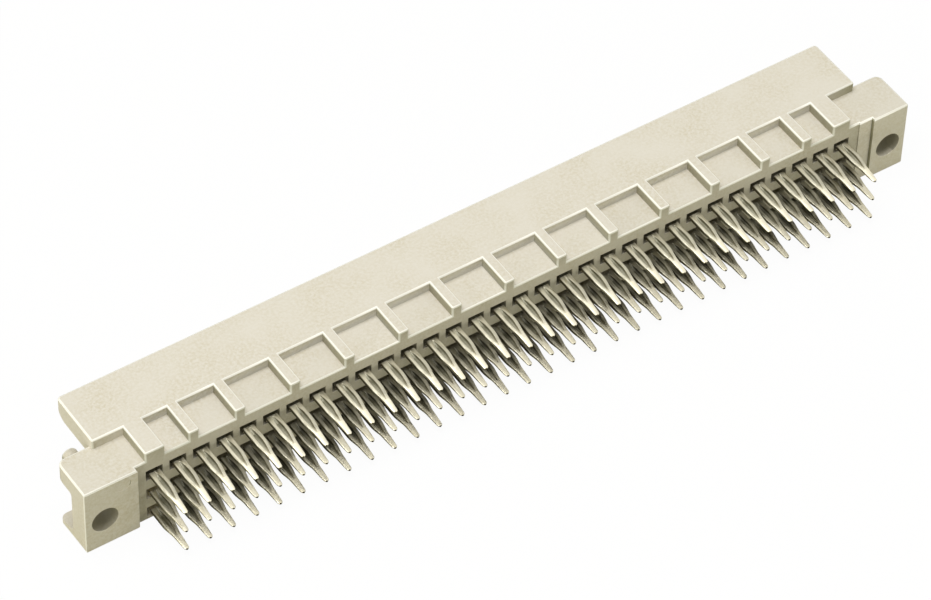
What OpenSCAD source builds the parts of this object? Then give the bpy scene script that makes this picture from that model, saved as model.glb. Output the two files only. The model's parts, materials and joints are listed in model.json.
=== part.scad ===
// Socket connector for circuit boards: 96 stamped contacts in three rows of 32, pressed
// from the rear into one moulded housing with a fixing ear at each end.
// It lies on its flat underside. X runs along the contact rows, +Y is the way the mating
// plug leaves, +Z is up. The origin is the middle of the underside of the whole part.

/* [Contact grid] */
// Distance between neighbouring contacts, along a row and from row to row
pitch = 2.54; // [2.5:0.01:2.58]
// Height of the middle row above the underside
row_b_z = 3.54; // [3.5:0.01:3.6]

/* [Housing block] */
// Depth from the rear face to the mating face
body_depth = 10.37; // [10:0.01:12]
// Height of the housing
body_h = 9.27; // [9:0.01:10]
// Block that enters the plug, from the last contact column to its end
block_end = 1.53; // [1.3:0.01:1.8]
// Lead-in chamfer on the upright corners of the mating end
block_chamfer = 0.6; // [0.3:0.05:0.8]

/* [Shelf] */
// Shelf along the top of the mating end, from the last contact column to its end
shelf_end = 4.23; // [4:0.01:4.5]
// Height of the shelf's underside where it overhangs
shelf_z = 6.78; // [6.5:0.01:7]
// Rounding under the overhang's leading edge
shelf_round = 1.5; // [1:0.05:2]
// Rounding of the shelf's leading corners, seen from above
shelf_corner = 0.4; // [0.2:0.05:0.8]

/* [Rear ledge and ribs] */
// Depth of the ledge cut into the top of the rear end
ledge_depth = 3.95; // [3.5:0.01:4.2]
// Drop from the top of the housing to the ledge
ledge_drop = 1.12; // [1:0.01:1.3]
// Spacing of the ribs that cross the ledge
rib_pitch = 6; // [5.8:0.1:6.1]
// Width of each rib
rib_w = 1.15; // [1:0.05:1.4]
// Ribs on each side of the middle rib, at the even spacing
ribs_per_side = 5; // [3:1:5]
// Width of the two end ribs
end_rib_w = 2.1; // [1.8:0.05:2.4]
// Width of the narrow pocket beside each end rib
end_pocket_w = 2.6; // [2.2:0.05:2.8]
// End ribs, from the last contact column to their outer side
end_rib_end = 0.93; // [0.8:0.01:1.2]

/* [Fixing ears] */
// Distance between the two fixing holes
fixing_spacing = 90; // [89.8:0.05:90.6]
// Diameter of the fixing holes
fixing_d = 2.8; // [2.6:0.05:3]
// Ear, from the fixing hole to its outer end
ear_end = 2.1; // [1.9:0.05:2.5]
// Depth of the ears in front of the rear face
ear_depth = 4.5; // [4.2:0.05:5]
// Rounding of the ears' outer leading corners, seen from above
ear_corner = 0.8; // [0.4:0.05:1.2]
// How far the ears' rear faces stand out behind the body
ear_proud = 0.12; // [0.05:0.01:0.2]
// How far the stand-off pads stand out behind the body
pad_proud = 0.5; // [0.3:0.05:0.7]
// Left pad, from the fixing hole to its inner edge
pad_left = 3.6; // [3:0.05:3.8]
// Right pad, from the fixing hole to its inner edge
pad_right = 2.1; // [2:0.05:3.5]
// Ears' rear faces, from the fixing hole to the step beside the body
ear_step = 3.6; // [3.6:0.05:3.9]
// Diameter of the shallow ejector mark on the left pad
ejector_d = 1.6; // [1.2:0.1:1.8]
// Depth of the ejector mark
ejector_depth = 0.06; // [0.02:0.01:0.1]
// Ejector mark, from the fixing hole inwards
ejector_in = 2.05; // [1.8:0.05:2.6]
// Ejector mark's middle below the ear's top
ejector_drop = 1; // [0.95:0.05:1.4]

/* [Nut slots] */
// Height of the slot that holds a captive nut
nut_slot_h = 5.1; // [5:0.01:5.3]
// Wall between the rear face and the slot's floor
nut_wall = 1.9; // [1.6:0.05:2.2]
// Slot, from the fixing hole to its inner end
nut_slot_in = 2.9; // [2.6:0.05:3]
// Rounding under the upper lip's leading edge
nut_lip_round = 1.2; // [0.8:0.05:1.6]
// How far the lower lip slopes down to its leading edge
nut_lip_slope = 0.6; // [0.2:0.05:0.7]
// Fillet in the slot's inner corners
nut_fillet = 0.4; // [0.2:0.05:0.6]

/* [Guide grooves] */
// Lower lip beside each groove, from the last contact column to its outer side
lip_end = 4.08; // [3.9:0.01:4.2]
// Width of the lip
lip_w = 1.6; // [1.4:0.05:1.8]
// Height of the lip
lip_h = 1.5; // [1.2:0.01:2]
// Thickness of the groove's floor
groove_floor = 0.5; // [0.4:0.05:0.7]

/* [Cavities] */
// Width of the rear openings
mouth_w = 1.8; // [1.7:0.01:1.84]
// Height of the rear openings
mouth_h = 1.3; // [1.2:0.01:1.4]
// Middle of the rear openings above the contacts' middle plane
mouth_rise = 0.04; // [0:0.01:0.08]
// Depth of the rear openings
mouth_depth = 1.8; // [1.2:0.05:2.2]
// Width of the spring chamber
chamber_w = 1.66; // [1.64:0.01:1.68]
// Height of the spring chamber
chamber_h = 1; // [0.9:0.05:1.2]
// Thickness of the wall at the mating face
front_wall = 1.1; // [1:0.05:1.3]
// Diameter of the entry holes in the mating face
entry_d = 1.2; // [1:0.05:1.3]
// Width of the entry holes' lead-in at the mating face
lead_d = 1.9; // [1.6:0.05:2]
// Depth of the lead-in
lead_depth = 0.4; // [0.2:0.05:0.5]

/* [Contacts] */
// Thickness of the strip that the contacts are stamped from
strip_t = 0.3; // [0.26:0.01:0.34]
// Height of the tails, where the strip is formed up round the trough
tail_h = 0.56; // [0.5:0.01:0.64]
// Clearance between a contact and the walls that locate it
seat_gap = 0.02; // [0.01:0.005:0.03]
// Length of the tails behind the housing's rear face
tail_len = 5.65; // [5:0.05:6.5]
// Width of the tails at the root
tail_w = 1.2; // [1.1:0.01:1.25]
// Length of the tails' straight part, from the rear face
tail_straight = 2.1; // [1.8:0.05:2.4]
// Distance over which the tails narrow to the neck
tail_taper = 2; // [1.6:0.05:2.2]
// Width of the tails at the neck
neck_w = 0.68; // [0.6:0.01:0.76]
// Diameter of the rounded tail tips
tip_d = 0.52; // [0.46:0.02:0.58]
// Bevel along the underside of the tails
tail_bevel = 0.16; // [0.1:0.01:0.2]
// Width of the trough at the root
trough_w = 0.56; // [0.44:0.01:0.6]
// Start of the trough, from the rear face
trough_start = 0.15; // [0.1:0.05:0.4]
// Length of the trough, down to its point
trough_len = 3.8; // [3.4:0.05:4]
// Thickness of the metal under the trough
trough_floor = 0.2; // [0.16:0.01:0.26]
// Width of the plate that carries the barbs
plate_w = 1.48; // [1.4:0.01:1.52]
// Length of the plate, from the rear openings to the stop shoulder's face
plate_len = 1.7; // [1.6:0.05:1.9]
// Distance that the spring arms stop short of the front wall
fork_gap = 0.3; // [0.2:0.05:0.5]
// Thickness of each spring arm
arm_t = 0.3; // [0.26:0.01:0.32]
// Gap between the spring arms where they grip a pin
grip_gap = 0.48; // [0.4:0.01:0.55]

/* [Hidden] */
$fn = 48;
columns = 32;
rows = [1, 0, -1];
eps = 0.01;

function column_name(i) = str("contact_column_", i < 9 ? "0" : "", i + 1);

// Positions that several features share
grid_half = (columns - 1) / 2 * pitch;
block_half = grid_half + block_end;
shelf_half = grid_half + shelf_end;
rear_half = grid_half + end_rib_end;
lip_half = grid_half + lip_end;
hole_x = fixing_spacing / 2;
ear_half = hole_x + ear_end;
ledge_z = body_h - ledge_drop;
rear_y = (tail_len - body_depth) / 2;
slot_low_z = row_b_z - nut_slot_h / 2;
slot_top_z = row_b_z + nut_slot_h / 2;

// Each contact's length inside the housing
slot_h = strip_t + 2 * seat_gap;
shoulder_y = mouth_depth + plate_len;
chamber_y = shoulder_y + seat_gap;
front_y = body_depth - front_wall;
fork_y = front_y - fork_gap;

plastic = [0.87, 0.84, 0.76];
metal = [0.80, 0.79, 0.74];

// The part is drawn with the housing's rear face at Y = 0
module placed() {
  translate([0, rear_y, 0]) children();
}

// A side profile, drawn as [Y, Z], carried along X from x0 to x1
module along_x(x0, x1) {
  translate([x0, 0, 0])
    rotate([90, 0, 90])
      linear_extrude(x1 - x0) children();
}

// The same thing at both ends of the housing
module both_ends() {
  children();
  mirror([1, 0, 0]) children();
}

// What a rounding of radius r takes off a corner at the origin, for material that lies
// towards -X and -Y of it
module corner_waste(r) {
  translate([-r, -r])
    difference() {
      square(r + eps);
      circle(r);
    }
}

// Block with the ledge cut into its top rear edge
module block() {
  half = block_half;
  tip = half - block_chamfer;
  intersection() {
    along_x(-half, half)
      polygon([[0, 0], [body_depth, 0], [body_depth, body_h], [ledge_depth, body_h],
               [ledge_depth, ledge_z], [0, ledge_z]]);
    translate([0, 0, -1])
      linear_extrude(body_h + 2)
        polygon([[-half, 0], [half, 0], [half, body_depth - block_chamfer],
                 [tip, body_depth], [-tip, body_depth],
                 [-half, body_depth - block_chamfer]]);
  }
}

module shelf() {
  difference() {
    along_x(-shelf_half, shelf_half)
      difference() {
        translate([ledge_depth, shelf_z])
          square([body_depth - ledge_depth, body_h - shelf_z]);
        translate([body_depth, shelf_z]) mirror([0, 1]) corner_waste(shelf_round);
      }
    both_ends()
      translate([shelf_half, body_depth, 0])
        linear_extrude(body_h + 1) corner_waste(shelf_corner);
  }
}

// One rib across the ledge, up to the top of the housing
module rib(x0, x1) {
  translate([x0, 0, ledge_z - eps])
    cube([x1 - x0, ledge_depth + eps, ledge_drop + eps]);
}

module ribs() {
  for (k = [-ribs_per_side:ribs_per_side])
    rib(k * rib_pitch - rib_w / 2, k * rib_pitch + rib_w / 2);
  inner = rear_half - end_rib_w;
  both_ends() {
    rib(inner, rear_half);
    rib(inner - end_pocket_w - rib_w, inner - end_pocket_w);
  }
}

// Floor and rounded lower lip of the groove that guides the plug
module guide_lip() {
  low = lip_half - lip_w;
  r = lip_w / 2;
  translate([block_half - eps, ear_depth - eps, 0])
    cube([lip_half - block_half - r, body_depth - ear_depth - block_chamfer / 2, groove_floor]);
  translate([0, body_depth, 0])
    rotate([90, 0, 0])
      linear_extrude(body_depth - ear_depth + eps) {
        translate([low, 0]) square([lip_w, lip_h - r]);
        intersection() {
          translate([low, 0]) square([lip_w, lip_h]);
          translate([low + r, lip_h - r]) circle(r);
        }
      }
}

// The ear's outline from above, with its outer leading corner rounded
module ear_plan() {
  difference() {
    translate([rear_half, 0]) square([ear_half - rear_half, ear_depth]);
    translate([ear_half, ear_depth]) corner_waste(ear_corner);
  }
}

// Slot for a captive nut, open to the outer end and to the mating side
module nut_slot() {
  run = ear_depth - nut_wall;
  along_x(hole_x - nut_slot_in, ear_half + 1)
    difference() {
      union() {
        polygon([[nut_wall, slot_top_z], [nut_wall, slot_low_z],
                 [ear_depth, slot_low_z - nut_lip_slope],
                 [ear_depth + run, slot_low_z - nut_lip_slope],
                 [ear_depth + run, slot_top_z]]);
        translate([ear_depth, slot_top_z]) mirror([0, 1]) corner_waste(nut_lip_round);
      }
      translate([nut_wall, slot_top_z]) mirror([1, 0]) corner_waste(nut_fillet);
      translate([nut_wall, slot_low_z]) rotate(180) corner_waste(nut_fillet);
    }
}

// One ear with its pad, on the +X side
module ear(pad_in) {
  difference() {
    union() {
      linear_extrude(ledge_z) ear_plan();
      translate([hole_x - ear_step, -ear_proud, 0])
        cube([ear_step + ear_end, ear_proud + eps, ledge_z]);
      translate([hole_x - pad_in, -pad_proud, 0])
        cube([pad_in + ear_end, pad_proud + eps, ledge_z]);
    }
    nut_slot();
    translate([hole_x, -pad_proud - 1, row_b_z])
      rotate([-90, 0, 0])
        cylinder(d = fixing_d, h = nut_wall + pad_proud + 2);
  }
}

// One contact cavity: rear opening, plate slot, spring chamber and funnelled entry hole.
// The slot lies low, level with the undersides of the tails
module cavity() {
  translate([-mouth_w / 2, -1, mouth_rise - mouth_h / 2])
    cube([mouth_w, mouth_depth + 1, mouth_h]);
  translate([-mouth_w / 2, 0, -tail_h / 2 - seat_gap])
    cube([mouth_w, chamber_y, slot_h]);
  translate([-chamber_w / 2, chamber_y - eps, -chamber_h / 2])
    cube([chamber_w, front_y - chamber_y + eps, chamber_h]);
  rotate([-90, 0, 0])
    rotate_extrude()
      polygon([[0, front_y - eps], [entry_d / 2, front_y - eps],
               [entry_d / 2, body_depth - lead_depth], [lead_d / 2, body_depth],
               [lead_d / 2, body_depth + 1], [0, body_depth + 1]]);
}

// Shallow round mark that an ejector pin leaves, on the +X side
module ejector_mark() {
  translate([hole_x - ejector_in, -pad_proud - 1, ledge_z - ejector_drop])
    rotate([-90, 0, 0])
      cylinder(d = ejector_d, h = 1 + ejector_depth);
}

module at_contact(column, row) {
  translate([(column * pitch) - grid_half, 0, row_b_z + row * pitch]) children();
}

module housing() {
  color(plastic)
    placed()
      difference() {
        union() {
          block();
          shelf();
          ribs();
          both_ends() guide_lip();
          ear(pad_right);
          mirror([1, 0, 0]) ear(pad_left);
        }
        mirror([1, 0, 0]) ejector_mark();
        for (column = [0:columns - 1], row = rows)
          at_contact(column, row) cavity();
      }
}

// Right edge of the tail from above: straight, then an even S-curve down to the neck
function tail_edge() = concat([[tail_w / 2, 0]], [for (t = [0:1 / 6:1.01])
  [(tail_w - (tail_w - neck_w) * (1 - cos(180 * t)) / 2) / 2, -tail_straight - t * tail_taper]
]);

// A closed outline from its right edge, mirrored onto the left
module symmetric(right) {
  last = len(right) - 1;
  polygon(concat(right, [for (i = [last:-1:0]) [-right[i][0], right[i][1]]]));
}

module tail_plan() {
  tip_y = tip_d / 2 - tail_len;
  symmetric(concat(tail_edge(), [[tip_d / 2, tip_y]]));
  translate([0, tip_y]) circle(d = tip_d);
}

// Side of the tail: the upper face runs down from the end of the straight part to the tip
module tail_side() {
  top = tail_h / 2;
  neck_y = -tail_straight - tail_taper;
  polygon([[0, -top], [0, top], [-tail_straight, top], [neck_y, top * 0.4],
           [-tail_len, -top * 0.2], [-tail_len, -top * 0.8], [tip_d - tail_len, -top]]);
}

// Tail's cross-section, bevelled underneath
module tail_section() {
  top = tail_h / 2;
  symmetric([[tail_w / 2 - tail_bevel, -top], [tail_w / 2, -top + tail_bevel],
             [tail_w / 2, top]]);
}

// Open trough that lets the tail squeeze as it is pressed into a board. Its floor ramps
// down from the root and up again towards the point
module trough() {
  start = -trough_start;
  end = start - trough_len;
  floor_z = trough_floor - tail_h / 2;
  top = tail_h / 2 + eps;
  intersection() {
    translate([0, 0, -tail_h])
      linear_extrude(2 * tail_h)
        symmetric([[trough_w / 2, start + 2 * eps], [trough_w / 2, start],
                   [0.36 * trough_w, start - 0.5 * trough_len],
                   [0.2 * trough_w, start - 0.72 * trough_len], [0.02, end]]);
    along_x(-trough_w, trough_w)
      polygon([[start, top], [start - 0.2 * trough_len, floor_z],
               [start - 0.75 * trough_len, floor_z], [end, tail_h / 4], [end, top]]);
  }
}

// Press-in tail of a contact, with its middle plane at Z = 0
module tail() {
  difference() {
    intersection() {
      translate([0, 0, -tail_h / 2]) linear_extrude(tail_h) tail_plan();
      along_x(-tail_w, tail_w) tail_side();
      rotate([90, 0, 0]) linear_extrude(tail_len + 1) tail_section();
    }
    trough();
  }
}

// Right half of the plate and fork, as [X, Y] points
function fork_half() = let (
    shank = tail_w / 2,
    plate = plate_w / 2,
    barb = mouth_w / 2 - seat_gap,
    arm = chamber_w / 2 - 3 * seat_gap,
    grip = grip_gap / 2,
    y = mouth_depth,
    yard = fork_y - shoulder_y
  ) [
    [shank, -eps], [shank, y - seat_gap], [plate, y - seat_gap],
    [plate, y + 0.25], [barb, y + 0.3], [plate, y + 0.85],
    [plate, shoulder_y - 0.45], [barb, shoulder_y - 0.45], [barb, shoulder_y],
    [arm, shoulder_y], [arm, shoulder_y + 0.25 * yard],
    [grip + arm_t, shoulder_y + 0.84 * yard], [grip + 1.5 * arm_t, fork_y],
    [grip + 0.7 * arm_t, fork_y], [grip, shoulder_y + 0.84 * yard],
    [arm - arm_t, shoulder_y + 0.25 * yard], [arm - arm_t, shoulder_y + 0.3],
    [grip, shoulder_y]
  ];

// Flat plate and fork, level with the underside of the tail
module fork() {
  translate([0, 0, -tail_h / 2])
    linear_extrude(strip_t) symmetric(fork_half());
}

module contact() {
  union() {
    tail();
    fork();
  }
}

// The three contacts of one column, rows a, b and c from the top
module contact_column(column) {
  color(metal)
    placed()
      for (row = rows)
        at_contact(column, row) contact();
}

housing();
for (i = [0:columns - 1])
  contact_column(i);
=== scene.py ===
import json
import math

import bmesh
import bpy
from mathutils import Matrix, Vector


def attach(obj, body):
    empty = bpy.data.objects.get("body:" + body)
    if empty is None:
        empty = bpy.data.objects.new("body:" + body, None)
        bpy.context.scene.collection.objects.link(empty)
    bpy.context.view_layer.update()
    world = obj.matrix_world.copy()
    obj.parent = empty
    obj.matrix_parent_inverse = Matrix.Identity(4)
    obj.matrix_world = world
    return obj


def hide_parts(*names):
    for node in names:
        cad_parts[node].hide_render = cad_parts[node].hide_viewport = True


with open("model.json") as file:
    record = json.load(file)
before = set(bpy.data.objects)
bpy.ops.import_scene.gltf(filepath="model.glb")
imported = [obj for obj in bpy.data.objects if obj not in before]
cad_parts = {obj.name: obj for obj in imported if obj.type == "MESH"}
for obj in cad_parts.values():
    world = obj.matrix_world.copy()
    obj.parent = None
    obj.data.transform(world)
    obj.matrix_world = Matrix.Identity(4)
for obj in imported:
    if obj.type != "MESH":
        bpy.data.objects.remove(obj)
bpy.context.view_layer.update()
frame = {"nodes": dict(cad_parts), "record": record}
mm = 0.001
print("frame loaded:", len(frame["nodes"]), "nodes")


# places that housing and contacts share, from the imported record

mounts = {m["name"]: m for m in frame["record"]["mounts"]}
holes = mounts["fixing_holes"]
padFaceY, middleRowZ = holes["pos_m"][1:]
holeX = holes["dims"]["spacing_x_mm"] / 2 * mm
rearFaceY = padFaceY + 0.5 * mm     # the pads stand 0.5 mm proud of the rear face
matingFaceY = mounts["mating_face"]["pos_m"][1]
contactPitch = 2.54                 # mm, along the rows and from row to row
rowALow = 4.9                       # mm above the underside, where row a's cavities start
rowBLow = 2.3
boreRadius = holes["dims"]["hole_r_mm"]


# small helpers

def fromHex(code):
    def linear(part):
        value = int(part, 16) / 255
        return value / 12.92 if value <= 0.04045 else ((value + 0.055) / 1.055) ** 2.4
    return tuple(linear(code[i:i + 2]) for i in (1, 3, 5)) + (1.0,)


def slide(x, points):
    # straight-line table look-up, with x rising
    for (x0, y0), (x1, y1) in zip(points, points[1:]):
        if x <= x1:
            return y0 + (y1 - y0) * max(0.0, (x - x0) / (x1 - x0))
    return points[-1][1]


def addNode(tree, kind, values=None, links=None, **settings):
    node = tree.nodes.new(kind)
    for name, value in settings.items():
        setattr(node, name, value)
    for socket, value in (values or {}).items():
        node.inputs[socket].default_value = value
    for socket, source in (links or {}).items():
        tree.links.new(source, node.inputs[socket])
    return node


def newMaterial(name):
    material = bpy.data.materials.new(name)
    material.use_nodes = True
    material.node_tree.nodes.clear()
    return material, material.node_tree


def newObject(name, mesh):
    made = bpy.data.objects.new(name, mesh)
    bpy.context.scene.collection.objects.link(made)
    return made


def bakeModifiers(made):
    # the evaluated shape becomes the plain mesh, and the modifiers go
    graph = bpy.context.evaluated_depsgraph_get()
    mesh = bpy.data.meshes.new_from_object(made.evaluated_get(graph), depsgraph=graph)
    old = made.data
    made.modifiers.clear()
    made.data = mesh
    bpy.data.meshes.remove(old)


# camera, fitted to the photograph

cameraValues = {
    "azimuth": 35.02,        # degrees round from the rear face's normal
    "elevation": 47.34,
    "roll": 1.89,
    "distance": 453.595,     # mm from the point looked at
    "right": -4.12,          # mm, the aim's offset in the picture plane
    "up": 2.16,
    "aim": (0, -2.36, 3.43),
    "focalPixels": 4746.16,
    "imageWidth": 931,       # pixels
    "sensorWidth": 36,
    "near": 0.01,            # m
    "far": 20,
}


def makeCamera(v):
    az, el, roll = (math.radians(v[k]) for k in ("azimuth", "elevation", "roll"))
    back = Vector((-math.sin(az) * math.cos(el), -math.cos(az) * math.cos(el), math.sin(el)))
    side = Vector((math.cos(az), -math.sin(az), 0))
    up = back.cross(side)
    right = math.cos(roll) * side + math.sin(roll) * up
    top = -math.sin(roll) * side + math.cos(roll) * up
    place = Vector(v["aim"]) + back * v["distance"] + right * v["right"] + top * v["up"]
    data = bpy.data.cameras.new("photoCamera")
    data.sensor_width = v["sensorWidth"]
    data.lens = v["focalPixels"] / v["imageWidth"] * v["sensorWidth"]
    data.clip_start = v["near"]
    data.clip_end = v["far"]
    camera = newObject("photoCamera", data)
    camera.matrix_world = Matrix((
        (right.x, top.x, back.x, place.x * mm),
        (right.y, top.y, back.y, place.y * mm),
        (right.z, top.z, back.z, place.z * mm),
        (0, 0, 0, 1),
    ))
    bpy.context.scene.camera = camera


makeCamera(cameraValues)
print("camera placed")


# studio: pale floor, soft light from above, a low card on the left and a small one on the right

studioValues = {
    "floorHalf": 3.0,            # m
    "floorColour": "#b4b39e",    # what the floor gives back to the object
    "floorGlow": 0.95,           # share of the camera's white that shadows don't touch
    "fillColour": "#ffffec",
    "fillLevel": 0.36,
    "lamps": {
        # name: (direction to it, distance m, width m, height m, watts, colour)
        "overheadSoftbox": ((-0.18, 0.02, 1.0), 0.7, 0.5, 0.5, 3.3, "#ffffff"),
        "leftCard": ((-1.0, -0.1, 0.09), 0.5, 0.5, 0.09, 0.8, "#fffcec"),
        "rightCard": ((0.46, -0.88, 0.14), 0.19, 0.1, 0.05, 0.041, "#fffdea"),
    },
}
plainWhite = (1, 1, 1, 1)


def makeWorld(v):
    # white to the camera, in reflections and through glass, and a low warm fill to everything else
    world = bpy.data.worlds.new("studioWorld")
    world.use_nodes = True
    tree = world.node_tree
    tree.nodes.clear()
    path = addNode(tree, "ShaderNodeLightPath")
    seen = addNode(tree, "ShaderNodeMath", operation="MAXIMUM",
                   links={0: path.outputs["Is Camera Ray"], 1: path.outputs["Is Glossy Ray"]})
    seen = addNode(tree, "ShaderNodeMath", operation="MAXIMUM",
                   links={0: seen.outputs[0], 1: path.outputs["Is Transmission Ray"]})
    fill = addNode(tree, "ShaderNodeBackground",
                   {"Color": fromHex(v["fillColour"]), "Strength": v["fillLevel"]})
    white = addNode(tree, "ShaderNodeBackground", {"Color": plainWhite, "Strength": 1.0})
    mix = addNode(tree, "ShaderNodeMixShader",
                  links={0: seen.outputs[0], 1: fill.outputs[0], 2: white.outputs[0]})
    addNode(tree, "ShaderNodeOutputWorld", links={"Surface": mix.outputs[0]})
    bpy.context.scene.world = world


def makeLamp(name, way, distance, width, height, watts, colour):
    data = bpy.data.lights.new(name, "AREA")
    data.shape = "RECTANGLE"
    data.size, data.size_y = width, height
    data.energy = watts
    data.color = fromHex(colour)[:3]
    lamp = newObject(name, data)
    way = Vector(way).normalized()
    lamp.location = way * distance
    lamp.rotation_euler = way.to_track_quat("Z", "Y").to_euler()


def makeFloor(v):
    # paper that glows to the camera only, so it looks white and still takes the object's shadow
    material, tree = newMaterial("palePaper")
    path = addNode(tree, "ShaderNodeLightPath")
    tint = addNode(tree, "ShaderNodeMix", {6: fromHex(v["floorColour"]), 7: plainWhite},
                   {0: path.outputs["Is Camera Ray"]}, data_type="RGBA")
    paper = addNode(tree, "ShaderNodeBsdfDiffuse", links={"Color": tint.outputs[2]})
    glow = addNode(tree, "ShaderNodeEmission", {"Color": plainWhite, "Strength": 1.0})
    share = addNode(tree, "ShaderNodeMath", {1: v["floorGlow"]}, operation="MULTIPLY",
                    links={0: path.outputs["Is Camera Ray"]})
    mix = addNode(tree, "ShaderNodeMixShader",
                  links={0: share.outputs[0], 1: paper.outputs[0], 2: glow.outputs[0]})
    addNode(tree, "ShaderNodeOutputMaterial", links={"Surface": mix.outputs[0]})
    half = v["floorHalf"]
    mesh = bpy.data.meshes.new("floor")
    mesh.from_pydata([(-half, -half, 0), (half, -half, 0), (half, half, 0), (-half, half, 0)],
                     [], [(0, 1, 2, 3)])
    mesh.materials.append(material)
    newObject("floor", mesh)


makeWorld(studioValues)
for lampName, lampFacts in studioValues["lamps"].items():
    makeLamp(lampName, *lampFacts)
makeFloor(studioValues)
bpy.context.scene.view_settings.view_transform = "Standard"
print("studio ready")


# housing: moulded body with rounded outer edges

housingValues = {
    "edgeRadius": 0.17,        # mm, on the outer edges
    "mouthRadius": 0.05,       # mm, round the rear openings and the bores
    "rimDepth": 0.8,           # mm, how far the rim's lighter painted shade reaches into the bores
    "segments": 2,             # of each rounded edge
    "sharpAngle": 30,          # degrees, edges sharper than this are rounded
    "smoothAngle": 32,         # degrees, edges flatter than this are shaded smooth
    "shortestEdge": 0.012,     # mm, shorter edges stay as they are
    "faceShare": 0.4,          # largest rounding, as a share of the face's width beside it
    "colour": "#e7e1d6",
    "edgeHighlightColour": "#fffcf4",   # painted highlight on the rounded edges
    "fibreColour": "#d8cfba",
    "wallShadeTint": "#a9a995",     # painted shade for faces deep between ribs, steps and contacts
    "hollowShadeColour": "#8b8673",   # painted shade inside the bores and row a's cavities
    "speckleSize": 0.3,        # mm, glass fibres, drawn coarser than real so that they show
    "cloudsPerMm": 0.24,       # slow change in how many fibres show
    "grainSize": 0.12,         # mm, texture that the mould leaves
    "grainHeight": 0.008,      # mm
    "grainStrength": 0.6,
    "smoothest": 0.47,         # roughness where few fibres show
    "roughest": 0.61,
    "edgeRoughness": 0.34,
    "shine": 0.4,
    "ior": 1.57,
    # how deep each kind of place lies in painted shade, 0 to 1
    "boreTone": 0.85,
    "boreRimTone": 0.75,
    "cavityTone": 0.6,         # row a; rows b and c are dark without it
    "topTone": 0.06,           # level faces below the top
    "rearTone": 0.38,          # rear face beside the contacts
    "rearTones": [(4.3, 0.55), (5.4, 0.36), (8.1, 0.3), (8.6, 0.5)],   # among them, by height in mm
    "pocketTone": 0.3,
    "pocketLeftTone": 0.85,    # pocket walls that face the left card
    "leftLedgeTone": 0.5,
    "rightLedgeTone": 1.0,
    "padStepTone": 1.0,
    "guideLipTone": 0.6,
}


def makePlastic(v):
    # glass-filled polyester, injection moulded: matt, faintly mottled, with a painted highlight on
    # its crisp edges and painted shade in corners and hollows
    material, tree = newMaterial("glassFilledPolyester")
    place = addNode(tree, "ShaderNodeTexCoord").outputs["Object"]
    speckle = addNode(tree, "ShaderNodeTexNoise",
                      {"Scale": 1 / (v["speckleSize"] * mm), "Detail": 3.0, "Roughness": 0.65},
                      {"Vector": place})
    cloud = addNode(tree, "ShaderNodeTexNoise", {"Scale": v["cloudsPerMm"] / mm, "Detail": 2.0},
                    {"Vector": place})
    spots = addNode(tree, "ShaderNodeMapRange", {"From Min": 0.36, "From Max": 0.66},
                    {"Value": speckle.outputs["Fac"]})
    clouds = addNode(tree, "ShaderNodeMapRange", {"From Min": 0.3, "From Max": 0.7, "To Min": 0.2},
                     {"Value": cloud.outputs["Fac"]})
    amount = addNode(tree, "ShaderNodeMath", operation="MULTIPLY",
                     links={0: spots.outputs[0], 1: clouds.outputs[0]})
    body = addNode(tree, "ShaderNodeMix", {6: fromHex(v["colour"]), 7: fromHex(v["fibreColour"])},
                   {0: amount.outputs[0]}, data_type="RGBA")
    # painted highlight on the rounded edges; the same mask makes them less rough
    edge = addNode(tree, "ShaderNodeAttribute", attribute_name="edgeHighlightAndGloss")
    rim = addNode(tree, "ShaderNodeMix", {7: fromHex(v["edgeHighlightColour"])},
                  {0: edge.outputs["Fac"], 6: body.outputs[2]}, data_type="RGBA")
    # painted shade in corners, on steps and among the contacts
    shade = addNode(tree, "ShaderNodeAttribute", attribute_name="shadeTone")
    wall = addNode(tree, "ShaderNodeMix", {7: fromHex(v["wallShadeTint"])},
                   {0: shade.outputs["Fac"], 6: rim.outputs[2]},
                   data_type="RGBA", blend_type="MULTIPLY")
    # painted shade inside the bores and row a's cavities
    hollow = addNode(tree, "ShaderNodeAttribute", attribute_name="hollowShadeTone")
    colour = addNode(tree, "ShaderNodeMix", {7: fromHex(v["hollowShadeColour"])},
                     {0: hollow.outputs["Fac"], 6: wall.outputs[2]}, data_type="RGBA")
    grain = addNode(tree, "ShaderNodeTexNoise", {"Scale": 1 / (v["grainSize"] * mm), "Detail": 2.0},
                    {"Vector": place})
    bump = addNode(tree, "ShaderNodeBump",
                   {"Strength": v["grainStrength"], "Distance": v["grainHeight"] * mm},
                   {"Height": grain.outputs["Fac"]})
    gloss = addNode(tree, "ShaderNodeMapRange",
                    {"To Min": v["smoothest"], "To Max": v["roughest"]},
                    {"Value": speckle.outputs["Fac"]})
    rough = addNode(tree, "ShaderNodeMix", {3: v["edgeRoughness"]},
                    {0: edge.outputs["Fac"], 2: gloss.outputs[0]})
    shader = addNode(tree, "ShaderNodeBsdfPrincipled",
                     {"IOR": v["ior"], "Specular IOR Level": v["shine"]},
                     {"Base Color": colour.outputs[2], "Roughness": rough.outputs[0],
                      "Normal": bump.outputs[0]})
    addNode(tree, "ShaderNodeOutputMaterial", links={"Surface": shader.outputs[0]})
    return material


def mergedCopy(node):
    # a CAD node's mesh is loose triangles: the copy is merged, and its flat faces made whole
    bm = bmesh.new()
    bm.from_mesh(frame["nodes"][node].data)
    bmesh.ops.remove_doubles(bm, verts=bm.verts, dist=1e-6)
    bmesh.ops.dissolve_limit(bm, angle_limit=math.radians(0.5), verts=bm.verts, edges=bm.edges)
    return bm


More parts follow.
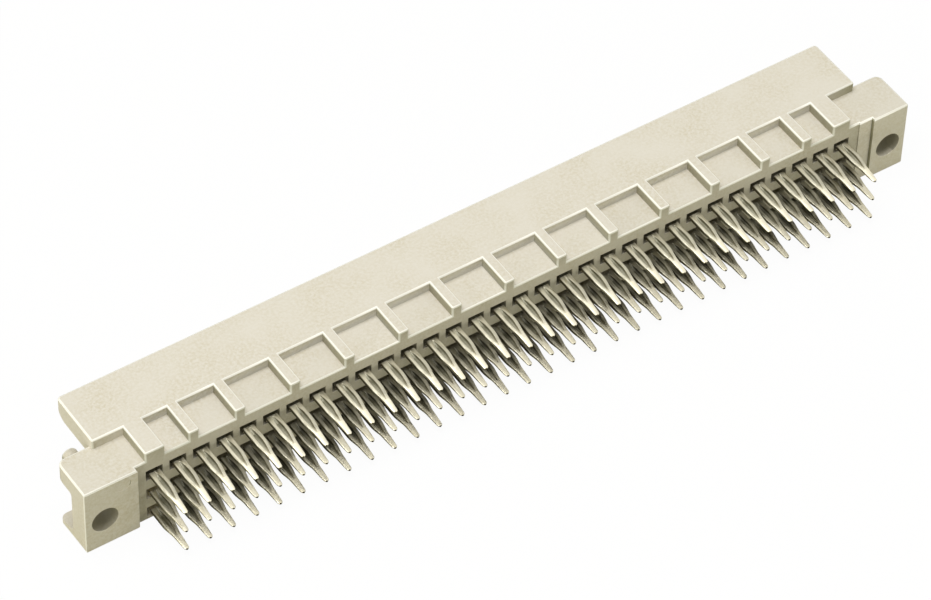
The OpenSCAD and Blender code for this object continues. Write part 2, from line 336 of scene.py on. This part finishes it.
# where the housing's details lie, in mm, with x counted from the middle to either end
fieldEnd, fieldLow, fieldHigh = 40.4, 0.03, 7.06    # the field that holds all openings and entries
rowsEnd, rearEnd = 39.9, 41.3                       # here the shade among the contacts fades
earStart = 41
padStepEnd, padStepHigh = 43.2, 7.95                # steps between the rear face and the pads
slotHigh, slotStart, slotEnd = 6.5, -0.6, 7.5       # nut slots and guide grooves, up and along Y
ledgeLow, ledgeHigh = 8.1, 9.2                      # walls that rise from the ledge
ledgeEnd, ledgeFront = 47, 1.65
lipStart, lipBack, lipHigh = 41.2, 2.2, 2           # guide lips, low on the ears' mating side
blockHigh = 8                                       # the mating face lies below this
topLow = 9                                          # and the top above this
markX, markZ, markRadius = -42.95, 7.15, 1.0        # the ejector's mark on the left pad


def inMm(p):
    return p.x / mm, p.y / mm, p.z / mm


def onMatingFace(p):
    return p.y > matingFaceY - 0.01 * mm and p.z < blockHigh * mm


def inContactField(p):
    return abs(p.x) < fieldEnd * mm and fieldLow * mm < p.z < fieldHigh * mm


def fromBore(p):
    # mm from the nearer fixing hole's axis
    return math.hypot(abs(p.x) - holeX, p.z - middleRowZ) / mm


def edgeSize(v, edge):
    # rounding of one edge in mm, 0 where it stays as it is
    length = edge.calc_length() / mm
    if len(edge.link_faces) != 2 or not edge.is_convex or length < v["shortestEdge"]:
        return 0.0
    if edge.calc_face_angle(0) < math.radians(v["sharpAngle"]):
        return 0.0
    middle = (edge.verts[0].co + edge.verts[1].co) / 2
    x, y, z = inMm(middle)
    x = abs(x)
    size = v["edgeRadius"]
    if inContactField(middle):
        if middle.y > rearFaceY + 0.05 * mm:
            return 0.0
        size = v["mouthRadius"]
    elif fromBore(middle) < boreRadius + 0.2:
        size = v["mouthRadius"]
    elif z < 0.05 and middle.y > matingFaceY - 0.1 * mm:
        size = 0.5 * v["mouthRadius"]     # row c's entries come close to this edge
    elif x > earStart and z < slotHigh and slotStart < y < slotEnd:
        return 0.0
    elif earStart < x < padStepEnd and 0.5 < z < padStepHigh and middle.y < rearFaceY + 0.1 * mm:
        return 0.0
    for face in edge.link_faces:
        size = min(size, v["faceShare"] * face.calc_area() / edge.calc_length() / mm)
    return size


def isQuietEdge(p):
    # rounded edges that get no painted highlight and stay as dull as the faces beside them: bore
    # and mark rims, the pads' steps
    x, z = p.x / mm, p.z / mm
    if fromBore(p) < boreRadius + 0.4 or inContactField(p):
        return True
    if math.hypot(x - markX, z - markZ) < markRadius and p.y < rearFaceY:
        return True
    return p.y < rearFaceY + 0.1 * mm and z < padStepHigh and earStart < abs(x) < padStepEnd


def hollowDepth(v, p, centre):
    # 0 to 1, painted shade for a corner of a face inside a bore or a cavity of row a, 0 elsewhere
    if inContactField(centre):
        inside = rearFaceY + 0.06 * mm < centre.y < matingFaceY - 0.4 * mm
        return v["cavityTone"] if inside and centre.z > rowALow * mm else 0.0
    if fromBore(centre) > boreRadius + 0.1 or not padFaceY + 0.03 * mm < centre.y < 0:
        return 0.0
    if p.y > padFaceY + 0.8 * v["rimDepth"] * mm:
        return v["boreTone"]
    # the painted shade leaves out the rim's lower left side on the right ear, where light falls on
    # it
    lit = 0 < p.x < holeX + 0.8 * mm and p.z < middleRowZ - 0.5 * mm
    return 0.0 if lit else v["boreRimTone"]


def wallShade(v, p, normal):
    # 0 to 1, how much painted shade a face's corner gets for the shade of what stands round it
    x, y, z = inMm(p)
    right, x = x > earStart, abs(x)
    if normal.z > 0.5:
        return v["topTone"] if z < topLow else 0.0
    if x < rearEnd + 0.11 and abs(p.y - rearFaceY) < 0.1 * mm:
        among = slide(x, [(rowsEnd, 1.0), (rearEnd, 0.0)])
        return v["rearTone"] + (slide(z, v["rearTones"]) - v["rearTone"]) * among
    if ledgeLow < z < ledgeHigh and x < ledgeEnd and y < ledgeFront:
        if right:
            return v["rightLedgeTone"]
        if normal.x < -0.5:
            return v["pocketLeftTone"]
        return v["leftLedgeTone"] if x > earStart else v["pocketTone"]
    if p.y < rearFaceY + 0.1 * mm and earStart < x < padStepEnd + 0.3 and abs(normal.x) > 0.3:
        return v["padStepTone"]
    return v["guideLipTone"] if x > lipStart and y > lipBack and z < lipHigh else 0.0


def cutAcross(bm, faces, place, way):
    parts = set(faces) | {e for f in faces for e in f.edges} | {x for f in faces for x in f.verts}
    bmesh.ops.bisect_plane(bm, geom=list(parts), plane_co=place, plane_no=way)


def addTone(mesh, name, domain, values):
    tone = mesh.attributes.new(name, "FLOAT", domain)
    tone.data.foreach_set("value", values)


def makeHousing(v, material):
    bm = mergedCopy("housing")
    bores = [f for f in bm.faces if fromBore(f.calc_center_median()) < boreRadius + 0.05]
    cutAcross(bm, bores, (0, padFaceY + v["rimDepth"] * mm, 0), (0, 1, 0))
    # the mating face, with its 96 entries, is cut between the columns into shapes that fill cleanly
    for k in range(-15, 16):
        front = [f for f in bm.faces if onMatingFace(f.calc_center_median())]
        cutAcross(bm, front, (k * contactPitch * mm, 0, 0), (1, 0, 0))
    layers = bm.edges.layers.float
    weight = layers.get("bevel_weight_edge") or layers.new("bevel_weight_edge")
    count = 0
    for edge in bm.edges:
        edge[weight] = edgeSize(v, edge) / v["edgeRadius"]
        count += edge[weight] > 0
    for face in bm.faces:
        face.smooth = True
        face.material_index = 0
    mesh = bpy.data.meshes.new("housingShell")
    bm.to_mesh(mesh)
    bm.free()
    # the second slot only marks the rounded edges, and goes once their painted highlight mask is
    # kept
    mesh.materials.append(material)
    mesh.materials.append(material)
    mesh.set_sharp_from_angle(angle=math.radians(v["smoothAngle"]))
    made = newObject("housingShell", mesh)
    bevel = made.modifiers.new("edges", "BEVEL")
    bevel.limit_method = "WEIGHT"
    bevel.width = v["edgeRadius"] * mm
    bevel.segments = v["segments"]
    bevel.use_clamp_overlap = False
    bevel.material = 1
    bevel.miter_outer = "MITER_SHARP"
    smooth = made.modifiers.new("normals", "WEIGHTED_NORMAL")
    smooth.keep_sharp = True
    bakeModifiers(made)

    mesh = made.data
    corners = [(f, mesh.vertices[i].co) for f in mesh.polygons for i in f.vertices]
    addTone(mesh, "edgeHighlightAndGloss", "FACE",
            [float(f.material_index == 1 and not isQuietEdge(f.center)) for f in mesh.polygons])
    addTone(mesh, "hollowShadeTone", "CORNER", [hollowDepth(v, p, f.center) for f, p in corners])
    addTone(mesh, "shadeTone", "CORNER", [wallShade(v, p, f.normal) for f, p in corners])
    mesh.polygons.foreach_set("material_index", [0] * len(mesh.polygons))
    mesh.materials.pop(index=1)
    print("housing edges rounded:", count, "faces", len(mesh.polygons))
    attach(made, "root")
    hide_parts("housing")


makeHousing(housingValues, makePlastic(housingValues))
print("housing done")


# contacts: one stamped and formed contact, repeated on the grid by Geometry Nodes

contactValues = {
    "columns": 32,
    "rows": 3,
    # the tail, in mm, with distances along it from its root at the rear face
    "tailLength": 5.65,
    "tailWidth": 1.2,
    "tailHeight": 0.56,
    "straight": 2.1,        # from the root to where the tail starts to narrow
    "taper": 2.0,
    "neckWidth": 0.68,
    "tipWidth": 0.52,
    "troughWidth": 0.56,
    "troughStart": 0.15,
    "troughLength": 3.8,
    "metalUnderTrough": 0.2,
    "railRound": 0.05,      # rounding of the rails' edges
    "underBevel": 0.16,
    # the plate and the fork, in mm
    "stripThickness": 0.3,
    "rootOverlap": 0.02,    # how far the plate's shape reaches into the tail's
    "mouthDepth": 1.8,      # rear face to the plate
    "plateLength": 1.7,
    "plateHalf": 0.74,      # half widths
    "barbHalf": 0.88,
    "armHalf": 0.77,
    "gripHalf": 0.24,
    "armWidth": 0.3,
    "forkEnd": 8.97,        # rear face to the ends of the spring arms
    "sharpAngle": 25,       # degrees
    # the finish
    "colour": "#e5dfc9",
    # painted shade in the trough
    "troughShadeColour": "#9a9784",
    "shearAndShadeColour": "#5f5842",     # painted shade on the sides, in the trough and on what lies inside; on the sheared sides it also stands for the bare copper alloy
    "cavityShade": 0.6,       # painted shade on row a's metal inside the housing
    "nestShade": 0.55,        # painted shade deep among the tails
    "linesPerMm": 9,        # drawing lines, coarser than the real ones so that they show
    "cloudsPerMm": 0.9,
    "lineHeight": 0.003,    # mm
    "lineStrength": 0.4,
    "smoothest": 0.3,       # roughness of the polished patches
    "roughest": 0.72,
    "palest": 1.0,          # spread of tone from one contact to the next
    "dullest": 0.95,
    "seed": 7,
}


def makeTin(v):
    # stamped copper alloy with a bright tin plating: a warm silver with fine drawing lines along
    # it, and painted shade on the sides, in the trough and near the root, also standing for the
    # sheared alloy on the sides
    material, tree = newMaterial("tinPlatedStrip")
    place = addNode(tree, "ShaderNodeTexCoord").outputs["Object"]
    lines = addNode(tree, "ShaderNodeMapping", {"Scale": (1.0, 0.08, 1.0)}, {"Vector": place})
    brush = addNode(tree, "ShaderNodeTexNoise", {"Scale": v["linesPerMm"] / mm, "Detail": 2.0},
                    {"Vector": lines.outputs[0]})
    cloud = addNode(tree, "ShaderNodeTexNoise", {"Scale": v["cloudsPerMm"] / mm, "Detail": 2.0},
                    {"Vector": place})
    # painted shade on the sides, in the trough, near the root and on the metal inside; the sides
    # also show the bare sheared alloy
    shearAndShade = addNode(tree, "ShaderNodeAttribute", attribute_name="shearAndShadeTone")
    colour = addNode(tree, "ShaderNodeValToRGB", links={0: shearAndShade.outputs["Fac"]})
    stops = colour.color_ramp.elements
    stops[0].color, stops[1].color = fromHex(v["colour"]), fromHex(v["shearAndShadeColour"])
    stops.new(0.5).color = fromHex(v["troughShadeColour"])
    mottle = addNode(tree, "ShaderNodeMapRange", {"To Min": 0.93, "To Max": 1.03},
                     {"Value": cloud.outputs["Fac"]})
    tone = addNode(tree, "ShaderNodeAttribute", attribute_name="contactTone")
    # painted shade deep among the tails
    nest = addNode(tree, "ShaderNodeAttribute", attribute_name="nestShadeTone")
    dim = addNode(tree, "ShaderNodeMapRange", {"To Min": 1.0, "To Max": v["nestShade"]},
                  {"Value": nest.outputs["Fac"]})
    shade = addNode(tree, "ShaderNodeMath", operation="MULTIPLY",
                    links={0: mottle.outputs[0], 1: tone.outputs["Fac"]})
    shade = addNode(tree, "ShaderNodeMath", operation="MULTIPLY",
                    links={0: shade.outputs[0], 1: dim.outputs[0]})
    final = addNode(tree, "ShaderNodeVectorMath", operation="SCALE",
                    links={0: colour.outputs[0], "Scale": shade.outputs[0]})
    gloss = addNode(tree, "ShaderNodeMapRange",
                    {"From Min": 0.38, "From Max": 0.62, "To Min": v["smoothest"],
                     "To Max": v["roughest"]},
                    {"Value": brush.outputs["Fac"]})
    bump = addNode(tree, "ShaderNodeBump",
                   {"Strength": v["lineStrength"], "Distance": v["lineHeight"] * mm},
                   {"Height": brush.outputs["Fac"]})
    shader = addNode(tree, "ShaderNodeBsdfPrincipled", {"Metallic": 1.0},
                     {"Base Color": final.outputs[0], "Roughness": gloss.outputs[0],
                      "Normal": bump.outputs[0]})
    addNode(tree, "ShaderNodeOutputMaterial", links={"Surface": shader.outputs[0]})
    return material


def tailStations(v):
    # for each cross-section: distance from the root, half width, top and bottom height,
    # the trough's half width and its floor
    straight, end = v["straight"], v["straight"] + v["taper"]
    half, neck = v["tailWidth"] / 2, v["neckWidth"] / 2
    length, tip = v["tailLength"], v["tipWidth"] / 2
    high, low = v["tailHeight"] / 2, -v["tailHeight"] / 2
    start, run = v["troughStart"], v["troughLength"]
    floor = low + v["metalUnderTrough"]
    # distances from the root, in mm, closest together where the shape bends most
    stops = [0, 0.08, start, start + 0.12, start + 0.45, start + 0.2 * run, 1.3, 1.7, 2.1, 2.45,
             2.8, 3.1, 3.4, 3.65, start + run - 0.06, start + run, 4.3, 4.7, length - tip]
    stops += [length - tip + tip * math.sin(math.radians(a)) for a in (25, 50, 70, 84)]

    rows = []
    for s in stops:
        if s <= straight:
            width = half
        elif s <= end:
            narrowing = (1 - math.cos(math.pi * (s - straight) / v["taper"])) / 2
            width = half - (half - neck) * narrowing
        elif s <= length - tip:
            width = neck + (tip - neck) * (s - end) / (length - tip - end)
        else:
            width = math.sqrt(max(tip * tip - (s - length + tip) ** 2, 0.0))
        top = slide(s, [(0, high), (straight, high), (end, high * 0.4), (length, -high * 0.2)])
        bottom = slide(s, [(0, low), (length - v["tipWidth"], low), (length, -high * 0.8)])
        # the trough opens and closes like a lens
        slot = v["troughWidth"] / 2 * slide((s - start) / run, [
            (0.0, 0.0), (0.08, 0.35), (0.16, 0.62), (0.22, 0.76), (0.4, 0.88), (0.57, 0.84),
            (0.67, 0.66), (0.78, 0.45), (0.91, 0.2), (1.0, 0.0)])
        dip = slide(s, [(0, top), (start, top), (start + 0.2 * run, floor),
                        (start + 0.75 * run, floor), (start + run, high / 2), (length, high / 2)])
        rows.append((s, width, top, bottom, slot, min(dip, top)))
    return rows


def tailShadeTone(k, s):
    # 0 bright tin, 0.5 the trough's painted shade, 1 the deepest painted shade, which on the
    # sheared sides also stands for bare metal; s is mm from the root, and k counts faces from the
    # underside, -1, over bevel 0, side 1, rounded edge 2 and 3, and rail 4 and 5 into the trough
    if k < 2:
        return slide(s, [(2.2, 0.9), (3.4, 0.3)])
    if k < 4:
        return slide(s, [(2.2, 0.5), (3.4, 0.1)])
    if k < 6:
        return slide(s, [(0.0, 0.3), (1.0, 0.18), (3.4, 0.3), (4.2, 0.0)])
    return slide(s, [(0.3, 0.36), (0.7, 0.46), (1.5, 0.56), (3.0, 0.36), (3.8, 0.1)])


def mirrored(half):
    return half + [(-x, y) for x, y in reversed(half)]


def addTail(bm, shearAndShade, v):
    # cross-sections, joined from the root to the tip
    rings = []
    for s, width, top, bottom, slot, dip in tailStations(v):
        turn = min(v["railRound"], 0.3 * width)
        under = min(v["underBevel"], 0.45 * width)
        lip = min(turn, 0.5 * (top - dip))
        # right half of the outline, from the middle of the underside to the middle of the trough
        outline = mirrored([
            (width - under, bottom), (width, bottom + under), (width, top - turn),
            (width - 0.3 * turn, top - 0.3 * turn), (width - turn, top),
            (slot + 0.7 * turn, top), (slot, top - lip),
            (slot * 0.88, dip + 0.2 * (top - lip - dip)), (slot * 0.5, dip)])
        rings.append([bm.verts.new((x * mm, -s * mm, z * mm)) for x, z in outline])
    n = len(rings[0])
    for first, second in zip(rings, rings[1:]):
        for i in range(n):
            j = (i + 1) % n
            face = bm.faces.new((first[i], first[j], second[j], second[i]))
            k = min(i, n - 2 - i) if i < n - 1 else -1     # place round the right or left half
            face[shearAndShade] = tailShadeTone(k, -second[0].co.y / mm)
    bm.faces.new(rings[0])
    bm.faces.new(list(reversed(rings[-1])))
    # the trough's ends come to a point, so faces without width are merged away
    bmesh.ops.remove_doubles(bm, verts=bm.verts, dist=1e-7)
    bmesh.ops.dissolve_degenerate(bm, dist=1e-7, edges=bm.edges)


def addPlateAndFork(bm, v):
    # one flat outline, from the root through the barbs and the shoulder to the spring arms
    shank, plate, barb = v["tailWidth"] / 2, v["plateHalf"], v["barbHalf"]
    arm, grip, thick = v["armHalf"], v["gripHalf"], v["armWidth"]
    deep, shoulder = v["mouthDepth"], v["mouthDepth"] + v["plateLength"]
    reach = v["forkEnd"] - shoulder
    outline = mirrored([
        (shank, -v["rootOverlap"]), (shank, deep), (plate, deep + 0.01), (plate, deep + 0.25),
        (barb, deep + 0.3), (plate, deep + 0.85), (plate, shoulder - 0.45),
        (barb, shoulder - 0.45), (barb, shoulder), (arm, shoulder + 0.01),
        (arm, shoulder + 0.25 * reach), (grip + thick, shoulder + 0.84 * reach),
        (grip + 1.5 * thick, v["forkEnd"]), (grip + 0.7 * thick, v["forkEnd"]),
        (grip, shoulder + 0.84 * reach), (arm - thick, shoulder + 0.25 * reach),
        (arm - thick, shoulder + 0.3), (grip, shoulder)])
    low = -v["tailHeight"] / 2
    lower = [bm.verts.new((x * mm, y * mm, (low + 0.005) * mm)) for x, y in outline]
    upper = [bm.verts.new((x * mm, y * mm, (low + v["stripThickness"]) * mm)) for x, y in outline]
    bm.faces.new(list(reversed(lower)))
    bm.faces.new(upper)
    for i in range(len(outline)):
        j = (i + 1) % len(outline)
        bm.faces.new((lower[i], lower[j], upper[j], upper[i]))


def contactMesh(v):
    bm = bmesh.new()
    shearAndShade = bm.faces.layers.float.new("shearAndShadeTone")
    addTail(bm, shearAndShade, v)
    tailFaces = len(bm.faces)
    addPlateAndFork(bm, v)
    bmesh.ops.recalc_face_normals(bm, faces=bm.faces)
    bm.faces.ensure_lookup_table()
    for i, face in enumerate(bm.faces):
        face.smooth = True
        if i >= tailFaces:
            face[shearAndShade] = 1.0
    mesh = bpy.data.meshes.new("contactShape")
    bm.to_mesh(mesh)
    bm.free()
    mesh.set_sharp_from_angle(angle=math.radians(v["sharpAngle"]))
    return mesh


def contactGrid(v, material):
    # tree: a grid of points, one contact on each, then real faces and the finish
    tree = bpy.data.node_groups.new("contactGrid", "GeometryNodeTree")
    sockets = tree.interface
    sockets.new_socket("Contact", in_out="INPUT", socket_type="NodeSocketGeometry")
    sizes = []
    for name, kind, value in (("Pitch", "NodeSocketFloat", contactPitch * mm),
                              ("Columns", "NodeSocketInt", v["columns"]),
                              ("Rows", "NodeSocketInt", v["rows"]),
                              ("Root Y", "NodeSocketFloat", rearFaceY),
                              ("Middle Row Z", "NodeSocketFloat", middleRowZ),
                              ("Seed", "NodeSocketInt", v["seed"])):
        socket = sockets.new_socket(name, in_out="INPUT", socket_type=kind)
        sizes.append((socket.identifier, value))
    sockets.new_socket("Contacts", in_out="OUTPUT", socket_type="NodeSocketGeometry")
    enter = addNode(tree, "NodeGroupInput")
    leave = addNode(tree, "NodeGroupOutput")

    def span(count):
        less = addNode(tree, "ShaderNodeMath", {1: 1.0}, {0: enter.outputs[count]},
                       operation="SUBTRACT")
        return addNode(tree, "ShaderNodeMath", operation="MULTIPLY",
                       links={0: less.outputs[0], 1: enter.outputs["Pitch"]})

    grid = addNode(tree, "GeometryNodeMeshGrid", links={
        "Size X": span("Columns").outputs[0], "Size Y": span("Rows").outputs[0],
        "Vertices X": enter.outputs["Columns"], "Vertices Y": enter.outputs["Rows"]})
    move = addNode(tree, "ShaderNodeCombineXYZ",
                   links={"Y": enter.outputs["Root Y"], "Z": enter.outputs["Middle Row Z"]})
    stand = addNode(tree, "GeometryNodeTransform", {"Rotation": (math.radians(90), 0, 0)},
                    {"Geometry": grid.outputs["Mesh"], "Translation": move.outputs[0]})
    place = addNode(tree, "GeometryNodeInstanceOnPoints",
                    links={"Points": stand.outputs[0], "Instance": enter.outputs["Contact"]})
    chance = addNode(tree, "FunctionNodeRandomValue", {2: v["dullest"], 3: v["palest"]},
                     {"Seed": enter.outputs["Seed"]}, data_type="FLOAT")
    store = addNode(tree, "GeometryNodeStoreNamedAttribute", {"Name": "contactTone"},
                    {"Geometry": place.outputs[0], "Value": chance.outputs[1]},
                    data_type="FLOAT", domain="INSTANCE")
    real = addNode(tree, "GeometryNodeRealizeInstances", links={"Geometry": store.outputs[0]})
    finish = addNode(tree, "GeometryNodeSetMaterial", {"Material": material},
                     {"Geometry": real.outputs[0]})
    tree.links.new(finish.outputs[0], leave.inputs[0])
    return tree, sizes


def nestDepth(p):
    # 0 to 1, painted shade on a point of a tail in rows b and c, by how far it lies in under the
    # row above;
    # the first column stands free on its left
    out = (rearFaceY - p.y) / mm
    if p.z > rowALow * mm or p.x < -38.1 * mm:
        return 0.0
    fade = [(1.4, 1.0), (2.2, 0.0)] if p.z > rowBLow * mm else [(2.0, 1.0), (2.8, 0.0)]
    return slide(out, fade)


def makeContacts(v, material):
    made = newObject("contacts", contactMesh(v))
    tree, sizes = contactGrid(v, material)
    repeat = made.modifiers.new("grid", "NODES")
    repeat.node_group = tree
    for identifier, value in sizes:
        repeat[identifier] = value
    bakeModifiers(made)
    mesh = made.data
    addTone(mesh, "nestShadeTone", "POINT", [nestDepth(x.co) for x in mesh.vertices])
    # painted shade only on row a's metal inside the cavities, where most light falls in; rows b and
    # c stay plain there
    shearAndShade = mesh.attributes["shearAndShadeTone"].data
    for face in mesh.polygons:
        if face.center.y > rearFaceY:
            shearAndShade[face.index].value = v["cavityShade"] if face.center.z > rowALow * mm else 0.0
    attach(made, "root")
    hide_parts(*[n for n in frame["nodes"] if n.startswith("contact_column_")])
    print("contacts:", len(mesh.polygons), "faces")


makeContacts(contactValues, makeTin(contactValues))
print("contacts done")


print("scene built")
